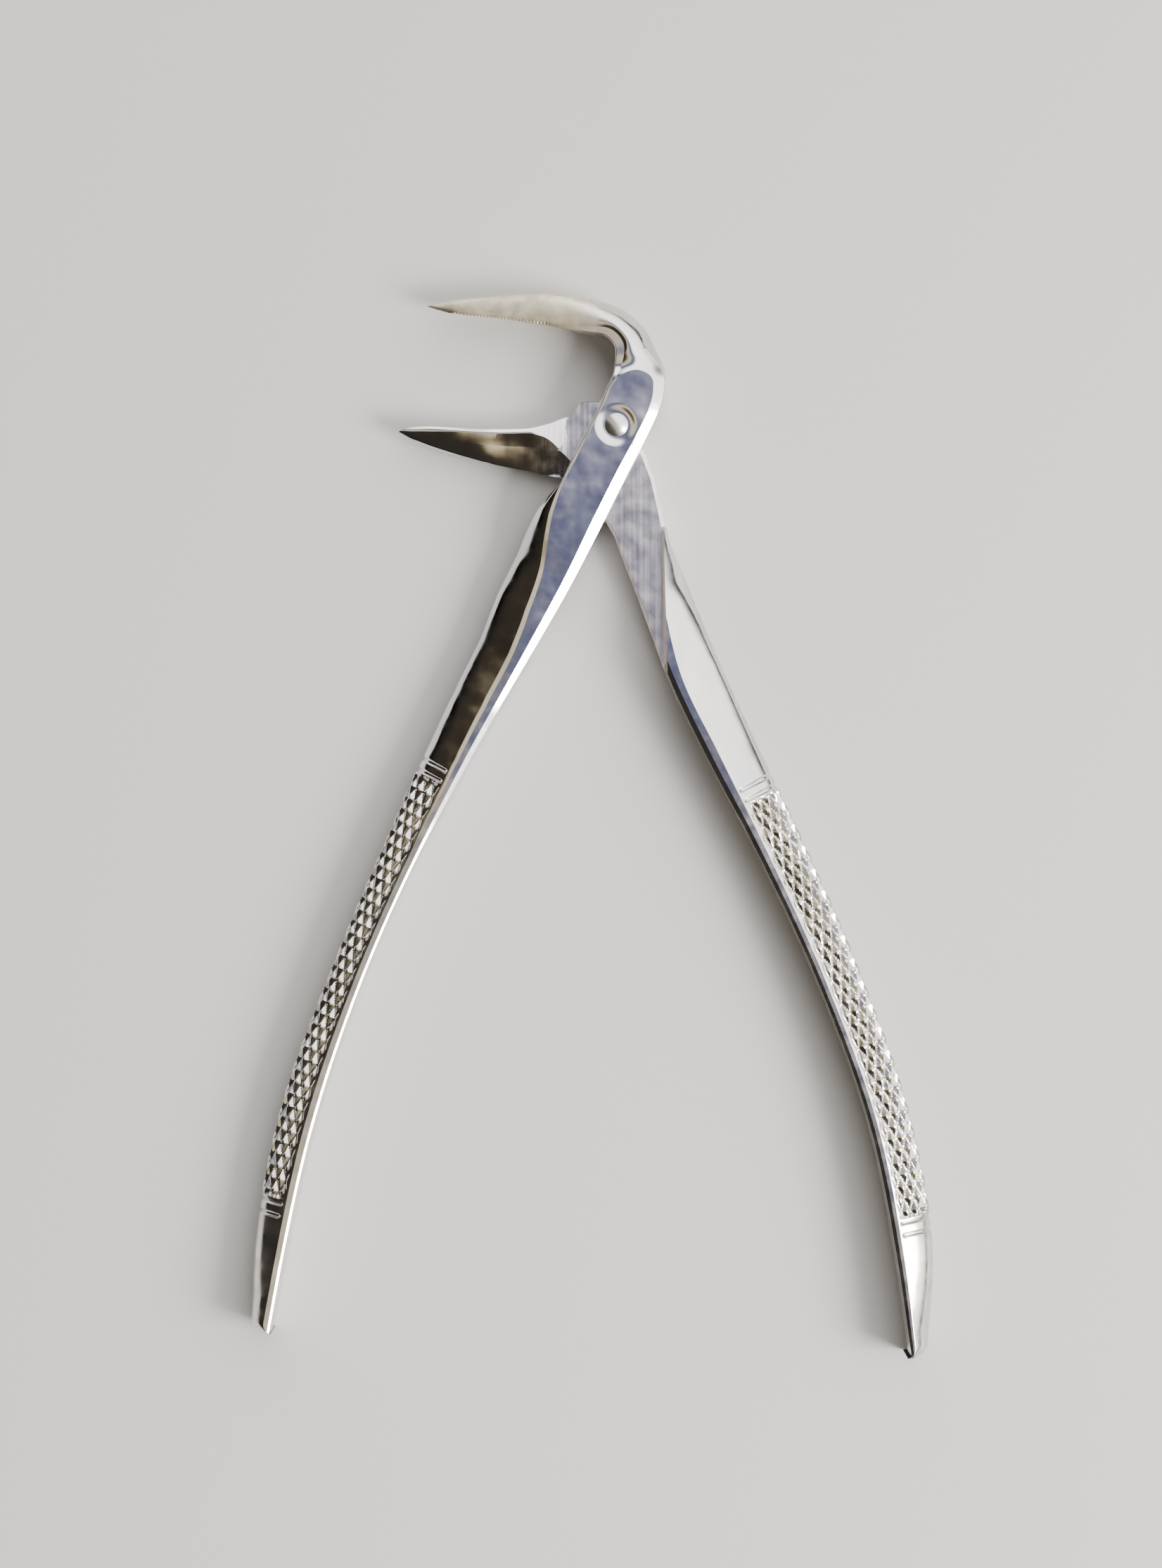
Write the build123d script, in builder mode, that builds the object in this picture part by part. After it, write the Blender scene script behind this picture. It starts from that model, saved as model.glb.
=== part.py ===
"""Extraction forceps with hawk-bill beaks for lower teeth.

Three pieces: two forged halves that cross in a lap joint, and the rivet that the rear half
turns on. Units are millimetres. The origin is on the rivet's axis, in the plane that the
forceps lies on. +Y runs from the handle ends towards the beaks' bend, +Z is up, and the
beaks point to -X.
"""
import os
from build123d import *

# Joint
THICKNESS = 8.0            # handles and joint, from the underside to the top face
LAP_HEIGHT = THICKNESS / 2  # the plane where the two halves slide on each other
LAP_GAP = 0.05             # each half's lap face stands this far back from that plane

# Rivet
SHANK_RADIUS = 1.4
SHANK_CLEARANCE = 0.04     # running fit in the rear half
HEAD_RADIUS = 1.75
HEAD_HEIGHT = 0.9
DISH_RADIUS = 2.95
DISH_DEPTH = 0.5
TAIL_RADIUS = 2.3
TAIL_HEIGHT = 1.0

# The rear half's round hub turns inside the front half's pocket.
HUB_RADIUS = 4.9
HUB_POCKET_RADIUS = 6.9

# A station is one cross-section of a half: its left point and right point in plan (x, y, x, y),
# its lowest and highest height, and how far the left and right sides bulge out of (or, when
# negative, are hollowed into) the section's corners. Stations run from beak tip to handle end.
STATION_SPACING = 3.0      # largest distance between the stations of a loft
FRONT_BEAK = [
    (-27.65, 18.05, -27.9, 18.55, 3.1, 4.9, -0.05, 0.2),
    (-24.95, 17.0, -25.05, 19.3, 2.3, 5.7, -0.35, 0.9),
    (-17.15, 16.1, -17.35, 19.95, 1.5, 6.5, -0.50, 1.7),
    (-9.15, 15.1, -9.35, 20.2, 0.9, 7.1, -0.40, 2.0),
    (-4.4, 14.0, -3.6, 19.4, 0.5, 7.5, 0.10, 1.8),
    (-1.45, 13.0, 2.45, 16.2, 0.2, 7.8, 0.25, 1.6),
    (-0.3, 10.70, 5.4, 12.20, 0.0, 8.0, 0.30, 1.4),
    (-0.6, 7.90, 7.4, 6.60, 0.0, 8.0, 0.30, 1.2),
    (-2.0, 4.00, 5.7, 0.30, 0.0, 8.0, 0.30, 1.0),
]
FRONT_HANDLE = [
    (-8.2, -8.00, -0.6, -12.20, 0.0, 8.0, 0.6, 0.8),
    (-13.5, -18.30, -5.9, -22.70, 0.0, 8.0, 2.8, 0.8),
    (-20.2, -31.40, -13.2, -35.40, 0.0, 8.0, 3.9, 0.8),
    (-26.7, -44.50, -20.6, -48.00, 0.0, 8.0, 3.9, 0.7),
    (-33.8, -60.20, -28.6, -62.70, 0.0, 8.0, 3.9, 0.6),
    (-43.0, -81.90, -38.1, -83.80, 0.0, 8.0, 3.9, 0.6),
    (-50.7, -103.30, -45.2, -104.80, 0.0, 8.0, 3.9, 0.6),
    (-54.6, -125.10, -50.0, -125.90, 0.0, 8.0, 3.2, 0.6),
    (-54.9, -135.60, -51.9, -136.20, 0.0, 8.0, 1.7, 0.5),
]
REAR_BEAK = [
    (-32.65, -0.6, -32.6, -0.1, 3.1, 4.9, 0.2, -0.05),
    (-29.4, -2.55, -29.1, 0.1, 2.3, 5.7, 0.9, -0.35),
    (-20.93, -5.05, -20.43, -0.2, 1.5, 6.5, 2.0, -0.50),
    (-13.27, -6.5, -12.47, -0.45, 0.9, 5.4, 2.0, -0.30),
    (-9.0, -7.50, -7.0, 1.20, 0.0, 4.3, 0.8, 0.10),
]
REAR_HANDLE = [
    (-0.3, -16.40, 7.5, -13.40, 0.0, 8.0, 0.8, 0.8),
    (2.5, -24.80, 9.9, -22.10, 0.0, 8.0, 0.8, 2.6),
    (7.6, -37.50, 15.2, -34.50, 0.0, 8.0, 0.8, 3.9),
    (13.6, -50.10, 20.6, -46.40, 0.0, 8.0, 0.7, 3.9),
    (20.3, -62.70, 26.8, -59.40, 0.0, 8.0, 0.6, 3.9),
    (30.2, -83.80, 36.4, -81.20, 0.0, 8.0, 0.6, 3.9),
    (37.8, -104.80, 44.1, -103.10, 0.0, 8.0, 0.6, 3.9),
    (42.1, -125.90, 47.8, -125.20, 0.0, 8.0, 0.6, 3.5),
    (44.1, -139.80, 46.9, -139.40, 0.0, 8.0, 0.5, 1.7),
]

# Plan outlines of the halves at the joint: the front half's bar over the lap, and the rear
# half's plate under it. The front outline starts at the bend's inner side and runs down its left
# side, up its right side and round the bend. The rear outline starts at the beak's inner side and
# runs over the hub, down its right side and up its left side.
FRONT_JOINT_LEFT = [(-0.6, 7.9), (-1.0, 6.7), (-1.7, 4.6), (-8.3, -8.3)]
FRONT_JOINT_RIGHT = [(-0.8, -12.3), (4.6, -2.2)]
FRONT_JOINT_BEND = [(4.6, -2.2), (6.4, 2.4), (7.3, 6.6)]

REAR_JOINT_TOP = [(-8.6, 0.7), (-7.1, 1.6), (-6.05, 2.85), (-5.55, 3.9), (-2.85, 3.99)]
REAR_JOINT_RIGHT = [(3.75, -3.15), (4.1, -3.4), (5.7, -7.6), (7.2, -14.0)]
REAR_JOINT_LEFT = [(-0.3, -16.4), (-2.2, -13.1), (-9.0, -7.3)]

# Shoulders: the lap pockets end at these lines, and beyond them a half has its full thickness.
# At the closed end of the travel each handle's edge lies just short of the other's shoulder.
FRONT_SHOULDER = [(-9.1, -10.6), (-11.1, -22.2), (-12.0, -27.0), (-13.6, -38.2)]
REAR_SHOULDER = [(8.6, -14.2), (6.8, -15.8), (7.0, -27.0), (7.4, -40.4)]
REAR_BEAK_SHOULDER = [(-0.5, 5.6), (-11.9, -6.7), (-14.0, -9.0)]

# The pockets' other sides only have to lie outside the halves.
POCKET_REACH = 20.0
POCKET_BEAK_SIDE = -14.0


def cross_section(left_x, left_y, right_x, right_y, low, high, left_bulge, right_bulge):
    """One station of a half: flat top and bottom, and two curved sides."""
    low = max(low, 0)
    high = min(high, THICKNESS)
    left = Vector(left_x, left_y)
    across = Vector(right_x, right_y) - left
    side = across.normalized()
    plane = Plane(origin=left, x_dir=side, z_dir=side.cross(Vector(0, 0, 1)))
    crest = (low + high) / 2
    # A hollow side keeps its corners on the outline; a bulging side keeps its crest on it.
    left_corner = max(left_bulge, 0)
    right_corner = across.length - max(right_bulge, 0)
    with BuildSketch(plane) as section:
        with BuildLine():
            Line((left_corner, low), (right_corner, low))
            ThreePointArc(
                (right_corner, low), (right_corner + right_bulge, crest), (right_corner, high)
            )
            Line((right_corner, high), (left_corner, high))
            ThreePointArc((left_corner, high), (left_corner - left_bulge, crest), (left_corner, low))
        make_face()
    return section.sketch


def distances_along(table):
    """How far along the half each station's middle lies."""
    along = [0.0]
    for row, following in zip(table, table[1:]):
        step_x = (following[0] + following[2] - row[0] - row[2]) / 2
        step_y = (following[1] + following[3] - row[1] - row[3]) / 2
        along.append(along[-1] + Vector(step_x, step_y).length)
    return along


def slopes(values, along):
    """Slope at each station of the smooth curve through one column of the table."""
    gaps = [end - start for start, end in zip(along, along[1:])]
    chords = [(end - start) / gap for start, end, gap in zip(values, values[1:], gaps)]
    inner = [
        (chord * next_gap + next_chord * gap) / (gap + next_gap)
        for chord, next_chord, gap, next_gap in zip(chords, chords[1:], gaps, gaps[1:])
    ]
    return [chords[0], *inner, chords[-1]]


def smooth_value(start, end, start_slope, end_slope, gap, part):
    """Cubic from start to end, at the given part of the gap between them."""
    rest = 1 - part
    return (
        start * rest ** 2 * (1 + 2 * part)
        + end * part ** 2 * (1 + 2 * rest)
        + start_slope * gap * part * rest ** 2
        - end_slope * gap * part ** 2 * rest
    )


def smooth_sections(table):
    """Cross-sections for a station table, with more stations set smoothly between its rows."""
    along = distances_along(table)
    columns = list(zip(*table))
    column_slopes = [slopes(column, along) for column in columns]
    sections = []
    for first in range(len(table) - 1):
        gap = along[first + 1] - along[first]
        count = max(2, round(gap / STATION_SPACING))
        for step in range(count):
            part = step / count
            row = [
                smooth_value(column[first], column[first + 1], slope[first], slope[first + 1], gap, part)
                for column, slope in zip(columns, column_slopes)
            ]
            sections.append(cross_section(*row))
    sections.append(cross_section(*table[-1]))
    return sections


with BuildPart() as front_half:
    loft(sections=smooth_sections(FRONT_BEAK), ruled=True)
    loft(sections=smooth_sections(FRONT_HANDLE), ruled=True)

    # Pocket under the lap, where the rear half passes and turns
    with BuildSketch():
        Circle(HUB_POCKET_RADIUS)
        shoulder_top, shoulder_end = FRONT_SHOULDER[0][1], FRONT_SHOULDER[-1][1]
        with BuildLine():
            Polyline(
                (-POCKET_REACH, 0),
                (-POCKET_REACH, shoulder_top),
                *FRONT_SHOULDER,
                (POCKET_REACH, shoulder_end),
                (POCKET_REACH, 0),
                close=True,
            )
        make_face()
    extrude(amount=LAP_HEIGHT + LAP_GAP, mode=Mode.SUBTRACT)

    # Bar above the lap
    with BuildSketch(Plane.XY.offset(LAP_HEIGHT + LAP_GAP)):
        with BuildLine():
            Polyline(*FRONT_JOINT_LEFT, *FRONT_JOINT_RIGHT)
            Spline(*FRONT_JOINT_BEND)
            Line(FRONT_JOINT_BEND[-1], FRONT_JOINT_LEFT[0])
        make_face()
    extrude(amount=THICKNESS - LAP_HEIGHT - LAP_GAP)

    # Shallow dish round the rivet's head, and the rivet's hole
    with BuildSketch(Plane.XY.offset(THICKNESS)):
        Circle(DISH_RADIUS)
    extrude(amount=-DISH_DEPTH, taper=30, mode=Mode.SUBTRACT)
    with BuildSketch(Plane.XY):
        Circle(SHANK_RADIUS)
    extrude(amount=THICKNESS, mode=Mode.SUBTRACT)

with BuildPart() as rear_half:
    loft(sections=smooth_sections(REAR_BEAK), ruled=True)
    loft(sections=smooth_sections(REAR_HANDLE), ruled=True)

    # Pocket above the lap, where the front half passes
    with BuildSketch(Plane.XY.offset(LAP_HEIGHT - LAP_GAP)):
        hub_top = REAR_BEAK_SHOULDER[0][1]
        shoulder_top, shoulder_end = REAR_SHOULDER[0][1], REAR_SHOULDER[-1][1]
        with BuildLine():
            Polyline(
                *REAR_BEAK_SHOULDER,
                (POCKET_BEAK_SIDE, shoulder_end),
                *reversed(REAR_SHOULDER),
                (POCKET_REACH, shoulder_top),
                (POCKET_REACH, hub_top),
                close=True,
            )
        make_face()
    extrude(amount=THICKNESS, mode=Mode.SUBTRACT)

    # Plate below the lap: a round hub that runs into the beak and the handle
    with BuildSketch():
        with BuildLine():
            Polyline(*REAR_JOINT_TOP)
            ThreePointArc(REAR_JOINT_TOP[-1], (HUB_RADIUS, 0), REAR_JOINT_RIGHT[0])
            Polyline(*REAR_JOINT_RIGHT, *REAR_JOINT_LEFT, REAR_JOINT_TOP[0])
        make_face()
    extrude(amount=LAP_HEIGHT - LAP_GAP)

    # Running hole, with a countersink for the rivet's tail
    with BuildSketch(Plane.XZ):
        with BuildLine():
            Polyline(
                (0, 0),
                (TAIL_RADIUS + SHANK_CLEARANCE, 0),
                (SHANK_RADIUS + SHANK_CLEARANCE, TAIL_HEIGHT),
                (SHANK_RADIUS + SHANK_CLEARANCE, THICKNESS),
                (0, THICKNESS),
                close=True,
            )
        make_face()
    revolve(axis=Axis.Z, mode=Mode.SUBTRACT)

with BuildPart() as pivot_rivet:
    # Half outline of the rivet, turned about its axis: flush tail, shank and domed head
    head_base = THICKNESS - DISH_DEPTH
    dome_radius = (HEAD_RADIUS ** 2 + HEAD_HEIGHT ** 2) / (2 * HEAD_HEIGHT)
    with BuildSketch(Plane.XZ):
        with BuildLine():
            Polyline((0, 0), (TAIL_RADIUS, 0), (SHANK_RADIUS, TAIL_HEIGHT), (SHANK_RADIUS, head_base))
            Line((SHANK_RADIUS, head_base), (HEAD_RADIUS, head_base))
            RadiusArc((HEAD_RADIUS, head_base), (0, head_base + HEAD_HEIGHT), -dome_radius)
            Line((0, head_base + HEAD_HEIGHT), (0, 0))
        make_face()
    revolve(axis=Axis.Z)

front_half.part.label = "front_half"
rear_half.part.label = "rear_half"
pivot_rivet.part.label = "pivot_rivet"

os.makedirs("parts", exist_ok=True)
export_step(front_half.part, "parts/front_half.step")
export_step(rear_half.part, "parts/rear_half.step")
export_step(pivot_rivet.part, "parts/pivot_rivet.step")
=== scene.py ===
"""Looks of the hawk-bill extraction forceps: two polished steel halves and their rivet.

Each half is swept through stations, from its beak tip to its handle end, with its bevels,
serrations, grip grooves and diamond knurling as real geometry. The sizes below are millimetres in
the CAD model's frame, with the rivet's axis at the origin. The finished meshes are in metres.
"""
import math
import bpy
import bmesh
import numpy as np
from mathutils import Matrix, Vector


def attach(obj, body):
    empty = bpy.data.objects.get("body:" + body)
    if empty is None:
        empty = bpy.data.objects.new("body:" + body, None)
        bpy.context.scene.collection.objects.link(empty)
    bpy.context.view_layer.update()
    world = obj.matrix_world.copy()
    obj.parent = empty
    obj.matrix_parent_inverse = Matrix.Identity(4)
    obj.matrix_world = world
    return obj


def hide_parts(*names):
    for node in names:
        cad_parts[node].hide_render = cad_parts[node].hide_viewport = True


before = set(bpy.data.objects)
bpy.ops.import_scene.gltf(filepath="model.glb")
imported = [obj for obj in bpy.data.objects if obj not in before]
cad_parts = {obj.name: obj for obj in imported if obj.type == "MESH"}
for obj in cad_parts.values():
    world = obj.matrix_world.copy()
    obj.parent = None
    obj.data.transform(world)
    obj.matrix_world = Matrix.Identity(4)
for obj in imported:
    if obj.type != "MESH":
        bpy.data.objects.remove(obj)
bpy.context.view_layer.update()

MM = 0.001                 # metres in a millimetre

# Lap joint
THICKNESS = 8.0
LAP_UPPER = 4.05           # the front half's lap face
LAP_LOWER = 3.95           # the rear half's lap face
HUB_POCKET_RADIUS = 6.9
HUB_RADIUS = 4.9
HUB_STEPS = 48

# Rivet, and the shallow dish round its head
SHANK_RADIUS = 1.4
HEAD_RADIUS = 1.75
HEAD_HEIGHT = 0.6
DOME_STEPS = 24
TAIL_RADIUS = 2.3
TAIL_HEIGHT = 1.0
TAIL_EDGE = 0.06
DISH_DEPTH = 0.2
DISH_PROFILE = [           # radius, and height above the dish's floor
    (0, 0), (1.95, 0), (2.25, 0.02), (2.5, 0.07), (2.7, 0.12), (2.9, 0.165), (3.1, 0.19), (3.3, 0.201),
    (3.4, 2), (0, 2),
]

# Plan lines of the shoulders, where each half steps down to its lap face
FRONT_SHOULDER = [(-9.1, -10.6), (-11.1, -22.2), (-12.0, -27.0), (-13.6, -38.2)]
REAR_SHOULDER = [(8.6, -14.2), (6.8, -15.8), (7.0, -27.0), (7.4, -40.4)]
REAR_BEAK_SHOULDER = [(-0.5, 5.6), (-11.9, -6.7), (-14.0, -9.0)]
SHOULDER_SLANT = 0.45      # the rear shoulder's wall leans this far outwards

# Plan outline of the rear plate: the beak's inner side, the hub, the right side, and then its
# left boundary, which lies inside the beak
REAR_PLATE_TOP = [
    (-8.2, 1.0), (-7.3, 1.5), (-6.8, 1.88), (-6.4, 2.35), (-6.05, 3.0), (-5.6, 3.9), (-2.85, 3.99),
]
REAR_PLATE_RIGHT = [(3.75, -3.15), (4.1, -3.4), (5.7, -7.6), (6.5, -11.0), (7.35, -14.95)]
REAR_PLATE_END = [(6.9, -17.5), (1.3, -19.2)]      # inside the handle
REAR_PLATE_EDGE = [(-3.4, -11.4), (-2.2, -13.1), (-0.3, -16.4), (0.0, -17.1)]
REAR_PLATE_LEFT = [(-4.4, -6.0), (-7.2, -1.6)]

# Bevels of the rear plate's top: widths along each part of its outline, and their shared drop
PLATE_TOP_BEVEL = 0.12
PLATE_HUB_BEVEL = 0.3
PLATE_RIGHT_BEVEL = 0.55
PLATE_INNER_BEVEL = 0.005
PLATE_BEVEL_DROP = 0.25

# The fine bevel along the left edge of the rear plate and of the handle's lap face
LEFT_BEVEL_WIDTH = 0.45
LEFT_BEVEL_DROP = 0.06
LEFT_BEVEL_ON_HANDLE = (0.8, 24, 40)       # from and to, along the handle's stations, and points

# One row per station: left x and y, right x and y, low, high, crown of the flats, then for the
# left side and for the right side: bevel width, bevel drop, bulge of the side. Then how far the
# left side leans in towards its lower edge, and the power of the outer side's profile: 2 is a
# plain arc, and a lower one is nearer to two flat facets.
FRONT_STATIONS = [
    (-28.35, 18.15, -28.45, 18.40, 3.5, 4.5, 0.03, 0.02, 0.02, 0.00, 0.03, 0.03, 0.05, 0.1, 2.0),
    (-26.30, 17.45, -26.50, 18.85, 2.8, 5.2, 0.06, 0.10, 0.06, -0.10, 0.25, 0.20, 0.40, 0.3, 2.0),
    (-24.95, 17.00, -25.05, 19.15, 2.4, 5.6, 0.08, 0.12, 0.08, -0.25, 0.35, 0.25, 0.50, 0.5, 2.0),
    (-21.00, 16.40, -21.20, 19.60, 1.9, 6.1, 0.10, 0.12, 0.08, -0.35, 0.35, 0.25, 0.50, 0.7, 2.0),
    (-17.15, 16.00, -17.35, 19.90, 1.6, 6.4, 0.12, 0.12, 0.08, -0.40, 0.30, 0.25, 0.50, 0.8, 2.0),
    (-13.00, 15.40, -13.20, 20.15, 1.3, 6.7, 0.15, 0.12, 0.08, -0.35, 0.30, 0.25, 0.55, 0.8, 2.0),
    (-9.15, 14.90, -9.35, 20.20, 1.0, 7.0, 0.20, 0.30, 0.08, -0.20, 0.35, 0.25, 0.70, 0.7, 2.0),
    (-4.40, 14.00, -3.60, 19.40, 0.7, 7.3, 0.20, 0.80, 0.13, 0.10, 0.50, 0.35, 1.20, 0.4, 2.0),
    (-1.40, 13.25, 1.60, 17.40, 0.6, 7.4, 0.22, 1.10, 0.14, 0.20, 0.60, 0.40, 1.70, 0.2, 2.0),
    (-0.35, 12.00, 4.30, 15.00, 0.5, 7.5, 0.24, 1.20, 0.15, 0.20, 0.80, 0.50, 1.80, 0.1, 2.0),
    (-0.15, 10.50, 6.20, 11.30, 0.4, 7.6, 0.26, 1.10, 0.14, 0.20, 1.10, 0.65, 1.40, 0.0, 2.0),
    (-0.30, 8.80, 7.25, 9.00, 0.2, 7.75, 0.45, 0.80, 0.12, 0.20, 1.30, 0.75, 0.80, 0.0, 2.0),
    (-0.60, 7.50, 7.50, 7.00, 0.0, 8.40, 0.60, 0.45, 0.08, 0.25, 1.40, 0.75, 0.35, 0.0, 2.0),
    (-1.30, 6.00, 7.25, 4.90, 0.0, 8.75, 0.80, 0.35, 0.08, 0.25, 1.45, 0.75, 0.20, 0.0, 2.0),
    (-2.30, 3.40, 6.45, 2.20, 0.0, 8.7, 0.70, 0.35, 0.08, 0.25, 1.45, 0.75, 0.15, 0.0, 2.0),
    (-4.10, -0.05, 4.40, -2.30, 0.0, 8.5, 0.50, 0.35, 0.08, 0.25, 1.50, 0.75, 0.15, 0.0, 2.0),
    (-6.50, -4.70, 1.85, -7.30, 0.0, 8.1, 0.10, 0.35, 0.08, 0.25, 1.60, 0.75, 0.15, 0.0, 2.0),
    (-8.85, -9.20, -0.90, -12.80, 0.0, 8.0, 0.00, 0.35, 0.08, 0.30, 1.60, 0.75, 0.15, 0.0, 1.8),
    (-10.60, -10.90, -2.05, -15.10, 0.0, 8.0, 0.00, 0.50, 0.11, 1.20, 1.60, 0.75, 0.15, 0.0, 1.5),
    (-13.30, -15.00, -4.35, -19.60, 0.0, 8.0, 0.00, 0.60, 0.13, 2.80, 1.45, 0.72, 0.15, 0.0, 1.4),
    (-15.70, -20.10, -7.10, -24.80, 0.0, 8.0, 0.00, 0.65, 0.14, 4.30, 1.30, 0.70, 0.15, 0.0, 1.4),
    (-18.30, -26.00, -10.35, -30.50, 0.0, 8.0, 0.00, 0.70, 0.15, 5.00, 1.15, 0.65, 0.15, 0.0, 1.4),
    (-21.20, -32.70, -14.20, -37.05, 0.0, 8.0, 0.00, 0.70, 0.15, 5.00, 0.95, 0.60, 0.15, 0.0, 1.4),
    (-26.70, -44.50, -20.60, -48.00, 0.0, 8.0, 0.00, 0.60, 0.13, 4.70, 0.70, 0.50, 0.15, 0.0, 1.5),
    (-30.40, -52.40, -24.60, -55.30, 0.0, 8.0, 0.00, 0.50, 0.11, 4.50, 0.60, 0.45, 0.15, 0.0, 1.7),
    (-33.80, -60.20, -28.60, -62.70, 0.0, 8.0, 0.00, 0.20, 0.08, 4.20, 0.40, 0.25, 0.15, 0.0, 2.2),
    (-43.00, -81.90, -38.10, -83.80, 0.0, 8.0, 0.00, 0.20, 0.08, 3.80, 0.35, 0.22, 0.15, 0.0, 2.4),
    (-50.70, -103.30, -45.20, -104.80, 0.0, 8.0, 0.00, 0.20, 0.08, 4.10, 0.35, 0.22, 0.15, 0.0, 2.4),
    (-54.60, -125.10, -50.00, -125.90, 0.0, 8.0, 0.00, 0.20, 0.08, 3.20, 0.35, 0.22, 0.15, 0.0, 2.3),
    (-54.90, -135.60, -51.90, -136.20, 0.0, 8.0, 0.00, 0.15, 0.08, 1.70, 0.35, 0.22, 0.15, 0.0, 2.2),
]
REAR_BEAK_STATIONS = [
    (-32.75, -0.75, -32.65, -0.40, 3.5, 4.5, 0.03, 0.03, 0.03, 0.10, 0.03, 0.03, 0.00, 0.0, 1.8),
    (-31.20, -1.75, -31.05, -0.05, 2.9, 4.8, 0.02, 0.40, 0.15, 0.60, 0.30, 0.20, -0.10, 0.0, 1.6),
    (-29.20, -2.55, -28.95, 0.05, 2.4, 5.1, 0.02, 0.70, 0.28, 1.10, 0.35, 0.22, -0.20, 0.0, 1.6),
    (-24.80, -3.95, -24.50, -0.15, 1.6, 5.4, 0.02, 1.15, 0.45, 2.05, 0.30, 0.22, -0.40, 0.0, 1.5),
    (-20.93, -4.95, -20.43, -0.35, 1.0, 5.3, 0.02, 1.60, 0.60, 2.40, 0.30, 0.22, -0.40, 0.0, 1.4),
    (-16.80, -5.80, -16.20, -0.35, 0.3, 5.05, 0.02, 1.80, 0.95, 3.00, 0.35, 0.22, -0.30, 0.0, 1.2),
    (-13.27, -6.45, -12.47, -0.10, 0.02, 4.9, 0.02, 1.95, 1.00, 3.50, 0.35, 0.20, -0.20, 0.0, 1.05),
    (-11.10, -6.95, -10.10, 0.55, 0.02, 4.5, 0.00, 1.70, 0.65, 3.60, 0.20, 0.12, 0.00, 0.0, 1.05),
    (-8.60, -7.45, -7.30, 1.50, 0.02, 3.94, 0.00, 0.10, 0.05, 3.60, 0.10, 0.05, 0.00, 0.0, 1.3),
    (-6.30, -9.00, -4.60, 0.40, 0.02, 3.94, 0.00, 0.10, 0.05, 2.60, 0.10, 0.05, 0.00, 0.0, 1.8),
    (-3.80, -11.50, -1.40, -2.60, 0.02, 3.94, 0.00, 0.10, 0.05, 1.00, 0.10, 0.05, 0.00, 0.0, 2.0),
]
REAR_HANDLE_STATIONS = [
    (-0.05, -17.05, 7.35, -14.90, 0.0, 8.0, 0.00, 0.40, 0.30, 0.10, 0.10, 0.05, 0.50, 0.0, 1.6),
    (0.75, -19.20, 7.95, -17.20, 0.0, 8.0, 0.00, 0.40, 0.30, 0.10, 0.10, 0.05, 1.50, 0.0, 1.4),
    (2.90, -24.80, 10.10, -22.10, 0.0, 8.0, 0.00, 0.50, 0.35, 0.10, 0.10, 0.05, 3.60, 0.0, 1.4),
    (5.30, -31.20, 12.60, -28.30, 0.0, 8.0, 0.00, 0.60, 0.40, 0.15, 0.10, 0.05, 5.10, 0.0, 1.4),
    (7.60, -37.50, 15.20, -34.50, 0.0, 8.0, 0.00, 0.70, 0.50, 0.15, 0.10, 0.05, 6.10, 0.0, 1.4),
    (13.60, -50.10, 20.60, -46.40, 0.0, 8.0, 0.00, 0.70, 0.50, 0.15, 0.10, 0.05, 5.90, 0.0, 1.5),
    (20.30, -62.70, 26.80, -59.40, 0.0, 8.0, 0.00, 0.60, 0.45, 0.15, 0.10, 0.05, 5.70, 0.0, 2.0),
    (30.20, -83.80, 36.40, -81.20, 0.0, 8.0, 0.00, 0.50, 0.40, 0.15, 0.10, 0.05, 5.40, 0.0, 2.1),
    (37.80, -104.80, 44.10, -103.10, 0.0, 8.0, 0.00, 0.50, 0.40, 0.15, 0.10, 0.05, 5.20, 0.0, 2.1),
    (42.10, -125.90, 47.80, -125.20, 0.0, 8.0, 0.00, 0.50, 0.40, 0.15, 0.10, 0.05, 4.50, 0.0, 2.1),
    (44.10, -139.80, 46.90, -139.40, 0.0, 8.0, 0.00, 0.40, 0.35, 0.15, 0.10, 0.05, 1.90, 0.0, 2.2),
]

# Grip: distances are from the pivot
GRIP_START = 59.9
GRIP_END = 127.0
GROOVES = (57.7, 59.4, 127.6, 129.4)
GROOVE_WIDTH = 0.8
GROOVE_DEPTH = 0.28
GROOVE_FADE = 0.8          # a groove fades out this near the side's edges
KNURL_LENGTH = 3.65        # long diagonal of a diamond, along the handle
KNURL_WIDTH = 1.7          # short diagonal, round the handle
KNURL_DEPTH = 0.42
KNURL_RISE = 0.10          # the diamonds' tops stand this far proud
KNURL_GROOVE = 0.36        # share of a diamond that each side of a groove takes
KNURL_EDGE_FADE = 1.1      # the knurling fades out this near the side's edges
KNURL_END_FADE = 0.5       # and this near its own ends
SEAM_LEAD = 3.0            # each grip's mesh starts this far before its first groove

# Serrations along the front beak's biting edge
SERRATION_PITCH = 0.52
SERRATION_DEPTH = 0.28
SERRATION_REACH = 0.25     # how far they reach in over the flat
SERRATION_SPAN = (-25.2, -9.2)
SERRATION_FADES = (1.0, 2.5)

END_ROUND = 1.6            # length of the rounded outer corner of a handle's end
END_PULL = 0.8             # its depth, as a share of its length
OUTER_SLOPE = 0.7          # steepest start of an outer side
ANY_SLOPE = 99.0           # leaves a side's slope free
LEAST_CURVE = 0.05         # least height that a side's curved part takes

# Points round a section: across a flat, a bevel, an outer side, the lower beak's outer side and
# any other side
FLAT_STEPS = 20
BEVEL_STEPS = 2
OUTER_STEPS = 96
BEAK_STEPS = 48
INNER_STEPS = 24

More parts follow.
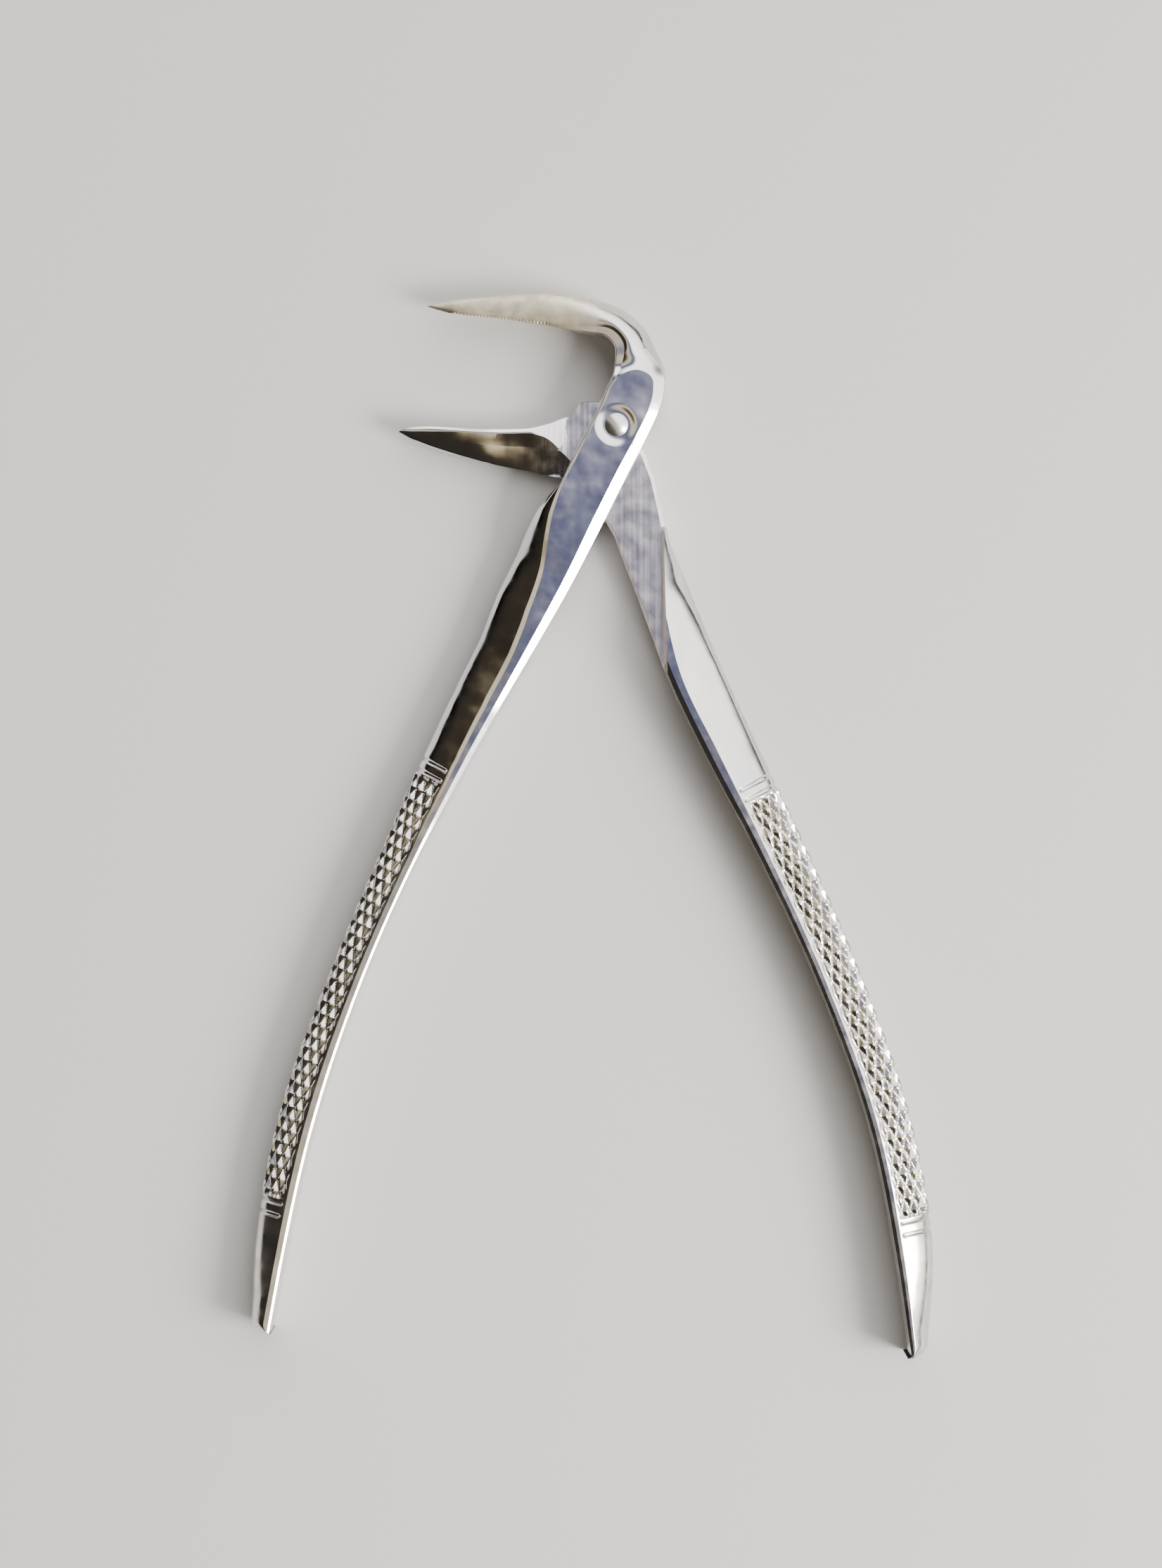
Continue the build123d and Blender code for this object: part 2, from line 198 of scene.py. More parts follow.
# Distances between the sections of a sweep
TIP_SPACING = 0.15
TOOTH_SPACING = 0.104      # a fifth of the serrations' pitch
TOOTH_MARGIN = 0.5         # and it goes on this far past the station where they end
BEAK_SPACING = 0.2
ARCH_SPACING = 0.16
HANDLE_SPACING = 0.5
GRIP_SPACING = 0.17
END_SPACING = 0.3
GRIP_LEAD = 0.6            # the grip's spacing starts this far before its first groove
GRIP_LENGTH = 74.0         # and ends this far after it

SEARCH_STEPS = 4000        # places along a half tried for its first groove
HANDLE_SIDE = -10          # y below which a half is its handle
TURNED_STEPS = 96          # points round a turned solid
ROUND_STEPS = 128          # points round the hub's pocket
SLIVER = 0.004             # keeps the faces of joined meshes out of each other's planes
BLOCK_REACH = 30           # half the side of the block that levels the arch
POCKET_REACH = 20          # past a half's edges, where a pocket's outline closes
CUT_BELOW = -1             # height at which the cutters of the front half's underside start
CUT_ABOVE = 5              # how far above the top face that block reaches
POCKET_ABOVE = 0.5         # how far above the top face the rear pocket's cutter reaches
EDGE_CUTTER_RISE = 0.5     # how far above the lap face the left bevel's cutter reaches
CORNER_LIMIT = 0.5         # keeps the inset of a sharp corner short
LARGE_FACE_WEIGHT = 100    # strongest pull of the large faces on the shading, in percent
FLAT_CREASE = 11.5         # edges sharper than this many degrees are kept, on the heads
ROUND_CREASE = 24          # and on the grips and the rivet


# ---------------------------------------------------------------- station sweeps

def curve_through(stations):
    """Distances along the stations, and a function that gives smooth rows at any distances."""
    table = np.array(stations, float)
    middle = (table[:, 0:2] + table[:, 2:4]) / 2
    steps = np.linalg.norm(np.diff(middle, axis=0), axis=1)
    along = np.concatenate([[0.0], np.cumsum(steps)])
    chords = np.diff(table, axis=0) / steps[:, None]
    weighted = chords[:-1] * steps[1:, None] + chords[1:] * steps[:-1, None]
    inner = weighted / (steps[:-1] + steps[1:])[:, None]
    slopes = np.vstack([chords[:1], inner, chords[-1:]])

    def rows_at(distances):
        distances = np.asarray(distances, float)
        first = np.clip(np.searchsorted(along, distances, side="right") - 1, 0, len(steps) - 1)
        gap = steps[first][:, None]
        part = ((distances - along[first]) / steps[first])[:, None]
        rest = 1 - part
        return (
            table[first] * rest ** 2 * (1 + 2 * part)
            + table[first + 1] * part ** 2 * (1 + 2 * rest)
            + slopes[first] * gap * part * rest ** 2
            - slopes[first + 1] * gap * part ** 2 * rest
        )

    return along, rows_at


def smooth_step(value):
    """0 below 0, 1 above 1, and smooth between."""
    value = np.clip(value, 0.0, 1.0)
    return value * value * (3 - 2 * value)


def side_profile(bulge, half_height, power, count, steepest):
    """A side's profile, top to bottom, for each row.

    It starts no steeper than the given slope, and has an upright middle where that leaves one.
    Gives the distance out of the corners, the height about the middle, the two parts of the
    surface's outward direction, and the distance round the surface from its crest.
    """
    level = np.sin(np.linspace(1, -1, count + 1) * math.pi / 2)[None, :]
    power, half_height, bulge = power[:, None], half_height[:, None], bulge[:, None]
    curved = np.minimum(half_height, np.maximum(np.abs(bulge) * power * steepest, LEAST_CURVE))
    out = bulge * (1 - np.abs(level) ** power)
    height = np.sign(level) * (half_height - curved * (1 - np.abs(level)))
    lift = bulge * power * np.abs(level) ** (power - 1) * np.sign(level) / curved
    length = np.hypot(1, lift)
    steps = np.hypot(np.diff(out, axis=1), np.diff(height, axis=1))
    around = np.concatenate([np.zeros((len(bulge), 1)), -np.cumsum(steps, axis=1)], axis=1)
    around -= around[:, -1:] / 2
    return out, height, 1 / length, lift / length, around


def knurl_offset(along, around, edge_distance):
    """How far the grip's surface stands out, from the distance along and round the handle."""
    first = along / KNURL_LENGTH + around / KNURL_WIDTH
    second = along / KNURL_LENGTH - around / KNURL_WIDTH
    depth = np.zeros_like(first)
    for family in (first, second):
        from_groove = np.abs(family - np.round(family))
        depth = np.maximum(depth, np.clip(1 - from_groove / KNURL_GROOVE, 0, 1))
    fade = smooth_step(edge_distance / KNURL_EDGE_FADE)
    zone = smooth_step((along - GRIP_START) / KNURL_END_FADE)
    zone = zone * smooth_step((GRIP_END - along) / KNURL_END_FADE)
    return zone * fade * (KNURL_RISE - (KNURL_DEPTH + KNURL_RISE) * depth)


def groove_offset(along, edge_distance):
    """The rounded grooves across the handle at both ends of the grip."""
    depth = np.zeros_like(along)
    for centre in GROOVES:
        part = np.clip(np.abs(along - centre) / (GROOVE_WIDTH / 2), 0, 1)
        depth = np.maximum(depth, np.cos(part * math.pi / 2) ** 2)
    return -GROOVE_DEPTH * depth * smooth_step(edge_distance / GROOVE_FADE)


def distances_for(spans):
    """Distances along a half, with each span (from, to, step) sampled at its own step."""
    found = []
    for start, end, step in spans:
        count = max(1, round((end - start) / step))
        found.extend(np.linspace(start, end, count, endpoint=False))
    found.append(spans[-1][1])
    return np.array(found)


def section_points(rows, along_grip, outer, outer_steps):
    """One closed loop of section points for every row, with the grip's relief on the outer side.

    Gives the grid of points, each point's distance in from the left bevel, and the direction
    across each row.
    """
    left, right = rows[:, 0:2], rows[:, 2:4]
    low, high, crown = rows[:, 4], rows[:, 5], rows[:, 6]
    left_bevel, left_drop, left_bulge = rows[:, 7], rows[:, 8], rows[:, 9]
    right_bevel, right_drop, right_bulge = rows[:, 10], rows[:, 11], rows[:, 12]
    across = right - left
    width = np.linalg.norm(across, axis=1)
    side = across / width[:, None]
    middle, half = (low + high) / 2, (high - low) / 2

    land_left = np.maximum(left_bulge, 0) + left_bevel
    land_right = width - np.maximum(right_bulge, 0) - right_bevel
    share = np.linspace(0, 1, FLAT_STEPS + 1)[None, :]
    flat_u = land_left[:, None] + (land_right - land_left)[:, None] * share
    flat_h = half[:, None] - crown[:, None] * (2 * share - 1) ** 2

    def bevel(start_u, end_u, start_h, end_h):
        part = np.linspace(0, 1, BEVEL_STEPS + 1)[None, :]
        return (
            start_u[:, None] + (end_u - start_u)[:, None] * part,
            start_h[:, None] + (end_h - start_h)[:, None] * part,
        )

    def side_points(bulge, drop, corner_u, outward, steps, is_outer):
        half_side = half - crown - drop
        power = rows[:, 14] if is_outer else np.full(len(rows), 2.0)
        steepest = OUTER_SLOPE if is_outer else ANY_SLOPE
        out, height, normal_out, normal_up, around = side_profile(
            bulge, half_side, power, steps, steepest)
        if is_outer and along_grip is not None:
            edge = around[:, :1] - np.abs(around)
            along = np.broadcast_to(along_grip[:, None], out.shape)
            offset = knurl_offset(along, around, edge) + groove_offset(along, edge)
            out = out + offset * normal_out
            height = height + offset * normal_up
        return corner_u[:, None] + outward * out, height

    left_corner = np.maximum(left_bulge, 0)
    right_corner = width - np.maximum(right_bulge, 0)
    left_steps = outer_steps if outer == "left" else INNER_STEPS
    right_steps = outer_steps if outer == "right" else INNER_STEPS
    right_u, right_h = side_points(
        right_bulge, right_drop, right_corner, 1, right_steps, outer == "right")
    left_u, left_h = side_points(
        left_bulge, left_drop, left_corner, -1, left_steps, outer == "left")

    corner_h = half - crown
    right_bevel_u, right_bevel_h = bevel(land_right, right_corner, corner_h, corner_h - right_drop)
    left_bevel_u, left_bevel_h = bevel(land_left, left_corner, corner_h, corner_h - left_drop)

    # Round the loop: top, right side down, bottom, left side up
    loop = [
        (flat_u, flat_h),
        (right_bevel_u, right_bevel_h),
        (right_u, right_h),
        (right_bevel_u[:, ::-1], -right_bevel_h[:, ::-1]),
        (flat_u[:, ::-1], -flat_h[:, ::-1]),
        (left_bevel_u, -left_bevel_h),
        (left_u[:, ::-1], left_h[:, ::-1]),
        (left_bevel_u[:, ::-1], left_bevel_h[:, ::-1]),
    ]
    u = np.hstack([across_part[:, :-1] for across_part, height_part in loop])
    h = np.hstack([height_part[:, :-1] for across_part, height_part in loop])
    lean = rows[:, 13][:, None] * (1 - u / width[:, None]) * (half[:, None] - h) / (2 * half[:, None])
    u = u + lean
    points = np.empty((*u.shape, 3))
    points[..., 0:2] = left[:, None, :] + side[:, None, :] * u[..., None]
    points[..., 2] = middle[:, None] + h
    return points, u - land_left[:, None], side


def serrate(points, from_bevel, side, rows, distance):
    """Cut the fine teeth into the left, biting side of a beak."""
    tooth = np.abs(((distance / SERRATION_PITCH) % 1) - 0.5) * 2
    start, end = SERRATION_SPAN
    fade_in, fade_out = SERRATION_FADES
    zone = smooth_step((rows[:, 0] - start) / fade_in) * smooth_step((end - rows[:, 0]) / fade_out)
    reach = np.clip(1 - from_bevel / SERRATION_REACH, 0, 1)
    shift = (SERRATION_DEPTH * tooth * zone)[:, None] * reach
    points[..., 0:2] += side[:, None, :] * shift[..., None]
    return points


def round_end(rows, distance, total, outer):
    """Draw in the outer corner of a handle's end."""
    reach = np.clip((distance - (total - END_ROUND)) / END_ROUND, 0, 1)
    pull = END_ROUND * END_PULL * (1 - np.sqrt(np.clip(1 - reach ** 2, 0, 1)))
    across = rows[:, 2:4] - rows[:, 0:2]
    side = across / np.linalg.norm(across, axis=1)[:, None]
    if outer == "left":
        rows[:, 0:2] += side * pull[:, None]
    else:
        rows[:, 2:4] -= side * pull[:, None]
    return rows


def mesh_from_grid(name, points):
    """A closed tube through rows of loop points, with both ends capped."""
    count, loop = points.shape[:2]
    vertices = (points.reshape(-1, 3) * MM).tolist()
    faces = []
    for row in range(count - 1):
        for place in range(loop):
            after = (place + 1) % loop
            faces.append((row * loop + place, row * loop + after,
                          (row + 1) * loop + after, (row + 1) * loop + place))
    faces.append(tuple(range(loop))[::-1])
    faces.append(tuple((count - 1) * loop + place for place in range(loop)))
    mesh = bpy.data.meshes.new(name)
    mesh.from_pydata(vertices, [], faces)
    mesh.update()
    return link_mesh(name, mesh)


def link_mesh(name, mesh):
    """A new object in the scene for a mesh, with its faces turned outwards."""
    work = bmesh.new()
    work.from_mesh(mesh)
    bmesh.ops.recalc_face_normals(work, faces=work.faces)
    work.to_mesh(mesh)
    work.free()
    piece = bpy.data.objects.new(name, mesh)
    bpy.context.scene.collection.objects.link(piece)
    return piece


def prism(name, outline, low, high, top=None):
    """A closed prism on a plan outline, in millimetres, or a tapering one with its own top."""
    return stack(name, [(outline, low), (top or outline, high)])


def stack(name, levels):
    """A closed solid through plan outlines of equal length, each at its height."""
    count = len(levels[0][0])
    vertices = [(x * MM, y * MM, z * MM) for outline, z in levels for x, y in outline]
    top = (len(levels) - 1) * count
    faces = [tuple(range(count))[::-1], tuple(range(top, top + count))]
    for base in range(0, top, count):
        for place in range(count):
            after = (place + 1) % count
            faces.append((base + place, base + after, base + count + after, base + count + place))
    mesh = bpy.data.meshes.new(name)
    mesh.from_pydata(vertices, [], faces)
    return link_mesh(name, mesh)


def edge_cutter(name, path, height, width, drop):
    """A thin wedge along the left edge of a top face, which cuts a bevel into it."""
    points = np.array(path, float)
    step = np.gradient(points, axis=0)
    inward = np.stack([-step[:, 1], step[:, 0]], axis=1) / np.linalg.norm(step, axis=1)[:, None]
    grid = np.empty((len(points), 3, 3))
    corners = [(width, 0.0), (-width, EDGE_CUTTER_RISE), (-width, -2 * drop)]
    for place, (reach, level) in enumerate(corners):
        grid[:, place, 0:2] = points + inward * reach
        grid[:, place, 2] = height + level
    return mesh_from_grid(name, grid)


def inset(outline, amounts):
    """A clockwise plan outline with each of its points moved inwards by an amount."""
    points = np.array(outline, float)
    before, after = np.roll(points, 1, axis=0), np.roll(points, -1, axis=0)

    def inward(start, end):
        step = end - start
        turned = np.stack([step[:, 1], -step[:, 0]], axis=1)
        return turned / np.linalg.norm(turned, axis=1)[:, None]

    first, second = inward(before, points), inward(points, after)
    both = first + second
    both /= np.maximum(np.sum(both * first, axis=1), CORNER_LIMIT)[:, None]
    return (points + both * np.array(amounts, float)[:, None]).tolist()


def circle(radius, count, start=0.0, end=math.tau):
    """Plan points on an arc about the pivot."""
    full = end - start >= math.tau
    angles = np.linspace(start, end, count, endpoint=not full)
    return [(radius * math.cos(angle), radius * math.sin(angle)) for angle in angles]


def combine(piece, other, operation):
    """Cut, or join, another mesh into a piece, and drop that other mesh."""
    step = piece.modifiers.new("combine", "BOOLEAN")
    step.object = other
    step.operation = operation
    step.solver = "EXACT"
    apply_modifiers(piece)
    bpy.data.objects.remove(other)


def apply_modifiers(piece):
    """Replace a piece's mesh with what its modifiers make of it."""
    graph = bpy.context.evaluated_depsgraph_get()
    made = bpy.data.meshes.new_from_object(piece.evaluated_get(graph))
    piece.modifiers.clear()
    old = piece.data
    piece.data = made
    bpy.data.meshes.remove(old)


def lathe(name, profile):
    """A solid turned about the pivot from (radius, height) points that start and end on the axis."""
    count = TURNED_STEPS
    ring = profile[1:-1]
    vertices = [(0, 0, profile[0][1] * MM)]
    for radius, height in ring:
        for x, y in circle(radius, count):
            vertices.append((x * MM, y * MM, height * MM))
    vertices.append((0, 0, profile[-1][1] * MM))
    last = len(vertices) - 1
    faces = []
    for place in range(count):
        after = (place + 1) % count
        faces.append((0, 1 + after, 1 + place))
        for level in range(len(ring) - 1):
            base, above = 1 + level * count, 1 + (level + 1) * count
            faces.append((base + place, base + after, above + after, above + place))
        base = 1 + (len(ring) - 1) * count
        faces.append((base + place, base + after, last))
    mesh = bpy.data.meshes.new(name)
    mesh.from_pydata(vertices, [], faces)
    return link_mesh(name, mesh)


def even_normals(piece):
    """Let the large faces set the shading at their edges, so that flats look flat."""
    weigh = piece.modifiers.new("normals", "WEIGHTED_NORMAL")
    weigh.mode = "FACE_AREA"
    weigh.weight = LARGE_FACE_WEIGHT
    weigh.keep_sharp = True
    apply_modifiers(piece)


def shade(piece, angle):
    """Smooth shading, with the edges sharper than the angle kept sharp."""
    mesh = piece.data
    mesh.polygons.foreach_set("use_smooth", [True] * len(mesh.polygons))
    mesh.set_sharp_from_angle(angle=math.radians(angle))


# ---------------------------------------------------------------- the halves

def first_groove(along, rows_at):
    """The distance along a half, on the handle's side, at which its first groove lies."""
    tries = np.linspace(along[0], along[-1], SEARCH_STEPS)
    rows = rows_at(tries)
    middle = (rows[:, 0:2] + rows[:, 2:4]) / 2
    far_enough = np.hypot(middle[:, 0], middle[:, 1]) > GROOVES[0]
    on_handle = middle[:, 1] < HANDLE_SIDE
    return tries[np.argmax(far_enough & on_handle)]


def half_sweeper(stations, outer):
    """A half's station distances and rows, its first groove, and a function that sweeps stretches."""
    along, rows_at = curve_through(stations)
    grip = first_groove(along, rows_at)

    def sweep(name, spans, teeth=False, ceiling=THICKNESS):
        distance = distances_for(spans)
        rows = round_end(rows_at(distance), distance, along[-1], outer)
        grip_place = distance - grip + GROOVES[0]
        points, from_bevel, side = section_points(rows, grip_place, outer, OUTER_STEPS)
        if teeth:
            points = serrate(points, from_bevel, side, rows, distance)
        points[..., 2] = np.clip(points[..., 2], 0, ceiling)
        return mesh_from_grid(name, points)

    return along, rows_at, grip, sweep


def grip_spans(grip, total):
    """The stretches of a grip's mesh: up to the knurling, along it, and on to the handle's end."""
    return [
        (grip - SEAM_LEAD, grip - GRIP_LEAD, HANDLE_SPACING),
        (grip - GRIP_LEAD, grip + GRIP_LENGTH, GRIP_SPACING),
        (grip + GRIP_LENGTH, total, END_SPACING),
    ]


def make_front_half():
    """The front half: upper beak, top of the lap, left handle."""
    along, rows_at, grip, sweep = half_sweeper(FRONT_STATIONS, "left")
    teeth_start, teeth_end = along[2], along[6] + TOOTH_MARGIN
    beak_end, arch_end = along[7], along[14]
    head = sweep("front_half_body", [
        (0, teeth_start, TIP_SPACING),
        (teeth_start, teeth_end, TOOTH_SPACING),
        (teeth_end, beak_end, BEAK_SPACING),
        (beak_end, arch_end, ARCH_SPACING),
        (arch_end, grip - SEAM_LEAD, HANDLE_SPACING),
    ], teeth=True, ceiling=None)

    # The arch's crowned top is cut level with the top face
    reach = BLOCK_REACH
    block = [(-reach, -reach), (-reach, reach), (reach, reach), (reach, -reach)]
    above = prism("above", block, THICKNESS + SLIVER, THICKNESS + CUT_ABOVE)
    combine(head, above, "DIFFERENCE")

    reach = POCKET_REACH
    shoulder_top, shoulder_end = FRONT_SHOULDER[0][1], FRONT_SHOULDER[-1][1]
    pocket = [(-reach, 0), (-reach, shoulder_top), *FRONT_SHOULDER, (reach, shoulder_end), (reach, 0)]
    combine(head, prism("pocket", pocket, CUT_BELOW, LAP_UPPER), "DIFFERENCE")
    hub_pocket = circle(HUB_POCKET_RADIUS, ROUND_STEPS)
    combine(head, prism("hub_pocket", hub_pocket, CUT_BELOW, LAP_UPPER + SLIVER), "DIFFERENCE")

    floor = THICKNESS - DISH_DEPTH
    dish = lathe("dish", [(radius, floor + height) for radius, height in DISH_PROFILE])
    combine(head, dish, "DIFFERENCE")
    return head, sweep("front_grip", grip_spans(grip, along[-1]))


def make_rear_beak():
    """The lower beak, before the rear plate joins it."""
    along, rows_at = curve_through(REAR_BEAK_STATIONS)
    distance = distances_for([(0, along[-1], BEAK_SPACING)])
    points = section_points(rows_at(distance), None, "left", BEAK_STEPS)[0]
    points[..., 2] = np.clip(points[..., 2], 0, THICKNESS)
    return mesh_from_grid("rear_half_body", points)


def make_rear_plate():
    """The bottom of the lap: a flat plate with a bevelled top."""
    left_end = math.atan2(REAR_PLATE_TOP[-1][1], REAR_PLATE_TOP[-1][0])
    right_end = math.atan2(REAR_PLATE_RIGHT[0][1], REAR_PLATE_RIGHT[0][0])
    hub = circle(HUB_RADIUS, HUB_STEPS, left_end, right_end)[1:-1]
    inner = [*REAR_PLATE_END, *reversed(REAR_PLATE_EDGE), *REAR_PLATE_LEFT]
    outline = [*REAR_PLATE_TOP, *hub, *REAR_PLATE_RIGHT, *inner]
    bevels = [
        *[PLATE_TOP_BEVEL] * len(REAR_PLATE_TOP),
        *[PLATE_HUB_BEVEL] * len(hub),
        *[PLATE_RIGHT_BEVEL] * len(REAR_PLATE_RIGHT),
        *[PLATE_INNER_BEVEL] * len(inner),
    ]
    return stack("plate", [
        (outline, SLIVER),
        (outline, LAP_LOWER - PLATE_BEVEL_DROP),
        (inset(outline, bevels), LAP_LOWER),
    ])


def make_rear_half():
    """The rear half: lower beak, bottom of the lap, right handle."""
    beak = make_rear_beak()
    along, rows_at, grip, sweep = half_sweeper(REAR_HANDLE_STATIONS, "right")
    upper = sweep("upper_handle", [(0, grip - SEAM_LEAD, HANDLE_SPACING)])

    # Both are stepped down to the lap face between the two shoulders
    shoulder_top, shoulder_end = REAR_SHOULDER[0][1], REAR_SHOULDER[-1][1]
    left_side = [*REAR_BEAK_SHOULDER, (REAR_BEAK_SHOULDER[-1][0], shoulder_end)]
    right_side = [(POCKET_REACH, shoulder_top), (POCKET_REACH, REAR_BEAK_SHOULDER[0][1])]
    slanted = [(x + SHOULDER_SLANT, y) for x, y in REAR_SHOULDER]
    pocket = [*left_side, *reversed(REAR_SHOULDER), *right_side]
    pocket_top = [*left_side, *reversed(slanted), *right_side]
    for piece, floor in ((upper, LAP_LOWER - SLIVER), (beak, LAP_LOWER - 2 * SLIVER)):
        cutter = prism("pocket", pocket, floor, THICKNESS + POCKET_ABOVE, pocket_top)
        combine(piece, cutter, "DIFFERENCE")

    combine(beak, make_rear_plate(), "UNION")
    combine(beak, upper, "UNION")
    handle_edge = rows_at(np.linspace(*LEFT_BEVEL_ON_HANDLE))[:, 0:2].tolist()
    edge = [*REAR_PLATE_EDGE[:-1], *handle_edge]
    combine(beak, edge_cutter("edge", edge, LAP_LOWER, LEFT_BEVEL_WIDTH, LEFT_BEVEL_DROP), "DIFFERENCE")
    return beak, sweep("rear_grip", grip_spans(grip, along[-1]))


def make_rivet():
    """The rivet: flush conical tail, shank and a domed head."""
    base = THICKNESS - DISH_DEPTH
    dome = (HEAD_RADIUS ** 2 + HEAD_HEIGHT ** 2) / (2 * HEAD_HEIGHT)
    reach = math.asin(HEAD_RADIUS / dome)
    profile = [
        (0, 0), (TAIL_RADIUS - TAIL_EDGE, 0), (TAIL_RADIUS, TAIL_EDGE), (SHANK_RADIUS, TAIL_HEIGHT),
        (SHANK_RADIUS, base), (HEAD_RADIUS, base),
    ]
    for angle in np.linspace(reach, 0, DOME_STEPS)[1:-1]:
        profile.append((dome * math.sin(angle), base + HEAD_HEIGHT - dome + dome * math.cos(angle)))
    profile.append((0, base + HEAD_HEIGHT))
    return lathe("rivet", profile)


# ---------------------------------------------------------------- materials

# Finishes: light and dark tints, scale of the tint's patches, roughness range, stretch of the
# scratches, their depth and the depth of the surface's broad waves, both in millimetres
POLISHED = (
    (0.84, 0.82, 0.80), (0.62, 0.61, 0.65), 420, (0.06, 0.15), (0.35, 0.12, 0.35), 0.0014, 0.20,
)
BRUSHED = (
    (0.86, 0.82, 0.82), (0.46, 0.43, 0.47), 2200, (0.15, 0.30), (1.0, 0.02, 0.2), 0.007, 0.16,
)
# Satin on the upper beak: its roughness is the real satin finish, and its cream tints are a painted
# warm sheen that stands in for warm light reflected off the beak
SATIN_WITH_PAINTED_SHEEN = (
    (0.88, 0.82, 0.66), (0.66, 0.59, 0.45), 1100, (0.30, 0.46), (0.5, 0.5, 0.5), 0.012, 0.10,
)
KNURLED = (
    (0.80, 0.78, 0.74), (0.56, 0.54, 0.51), 900, (0.12, 0.26), (0.4, 0.4, 0.4), 0.003, 0.0,
)
RIVET = (
    (0.82, 0.81, 0.82), (0.68, 0.67, 0.68), 600, (0.26, 0.36), (0.3, 0.3, 0.3), 0.002, 0.0,
)

# Where one finish gives way to another: axis, where the other starts to show and where it is full
# The upper beak's span of satin with its painted cream sheen, then the rear plate's brushing and the
# grips' knurling
PAINTED_SHEEN_SPANS = [("X", 2.0, -6.0), ("Y", 9.0, 13.0)]
BRUSHED_SPANS = [("Z", 4.9, 4.2), ("X", -13.5, -10.5)]
KNURLED_SPANS = [("Y", -53.0, -58.0)]

# Noise: the range that most of its values keep to, then scale and detail for the tint's patches,
# the roughness, the scratches and the waves
NOISE_LOW = 0.3
NOISE_HIGH = 0.7
PATCH_DETAIL = 4
POLISH_SCALE = 500
POLISH_DETAIL = 6
SCRATCH_SCALE = 2600
SCRATCH_DETAIL = 8
SCRATCH_ROUGHNESS = 0.7
WAVE_SCALE = 150
WAVE_DETAIL = 1.5

# A mix node's sockets for its two ends and its result, by the kind of value it mixes
MIX_SOCKETS = {"FLOAT": (2, 3, 0), "RGBA": (6, 7, 2)}


def node_tree(name):
    """A new material's nodes, links and principled shader."""
    material = bpy.data.materials.new(name)
    material.use_nodes = True
    tree = material.node_tree
    return material, tree.nodes, tree.links, tree.nodes["Principled BSDF"]


def noise(nodes, links, coordinates, size, detail, stretch=(1, 1, 1), roughness=0.5):
    """A noise texture on stretched object coordinates."""
    mapping = nodes.new("ShaderNodeMapping")
    mapping.inputs["Scale"].default_value = stretch
    links.new(coordinates, mapping.inputs["Vector"])
    texture = nodes.new("ShaderNodeTexNoise")
    texture.inputs["Scale"].default_value = size
    texture.inputs["Detail"].default_value = detail
    texture.inputs["Roughness"].default_value = roughness
    links.new(mapping.outputs["Vector"], texture.inputs["Vector"])
    return texture.outputs["Fac"]


def remap(nodes, links, value, low, high, from_low=NOISE_LOW, from_high=NOISE_HIGH):
    """A value moved linearly from one range, by default that of a noise, to another."""
    step = nodes.new("ShaderNodeMapRange")
    step.inputs["From Min"].default_value = from_low
    step.inputs["From Max"].default_value = from_high
    step.inputs["To Min"].default_value = low
    step.inputs["To Max"].default_value = high
    links.new(value, step.inputs["Value"])
    return step.outputs["Result"]


def scale(nodes, links, value, factor):
    """A value times a factor."""
    step = nodes.new("ShaderNodeMath")
    step.operation = "MULTIPLY"
    step.inputs[1].default_value = factor
    links.new(value, step.inputs[0])
    return step.outputs["Value"]


def together(nodes, links, operation, first, second):
    """Two values added or multiplied."""
    step = nodes.new("ShaderNodeMath")
    step.operation = operation
    links.new(first, step.inputs[0])
    links.new(second, step.inputs[1])
    return step.outputs["Value"]


def blend(nodes, links, kind, mask, first, second):
    """The first value where the mask is 0 and the second where it is 1."""
    step = nodes.new("ShaderNodeMix")
    step.data_type = kind
    start, end, result = MIX_SOCKETS[kind]
    links.new(mask, step.inputs["Factor"])
    links.new(first, step.inputs[start])
    links.new(second, step.inputs[end])
    return step.outputs[result]


def finish_values(nodes, links, coordinates, finish):
    """A finish's colour, roughness and surface height in metres."""
    light, dark, patches, roughness, stretch, scratch_depth, wave_depth = finish
    tint = nodes.new("ShaderNodeMix")
    tint.data_type = "RGBA"
    tint.inputs["A"].default_value = (*dark, 1)
    tint.inputs["B"].default_value = (*light, 1)
    patchy = noise(nodes, links, coordinates, patches, PATCH_DETAIL, stretch)
    links.new(remap(nodes, links, patchy, 0, 1), tint.inputs["Factor"])
    polish = noise(nodes, links, coordinates, POLISH_SCALE, POLISH_DETAIL)
    polish = remap(nodes, links, polish, *roughness)
    scratches = noise(
        nodes, links, coordinates, SCRATCH_SCALE, SCRATCH_DETAIL, stretch, SCRATCH_ROUGHNESS)
    scratches = scale(nodes, links, scratches, scratch_depth * MM)
    waves = noise(nodes, links, coordinates, WAVE_SCALE, WAVE_DETAIL)
    waves = scale(nodes, links, waves, wave_depth * MM)
    return tint.outputs["Result"], polish, together(nodes, links, "ADD", scratches, waves)


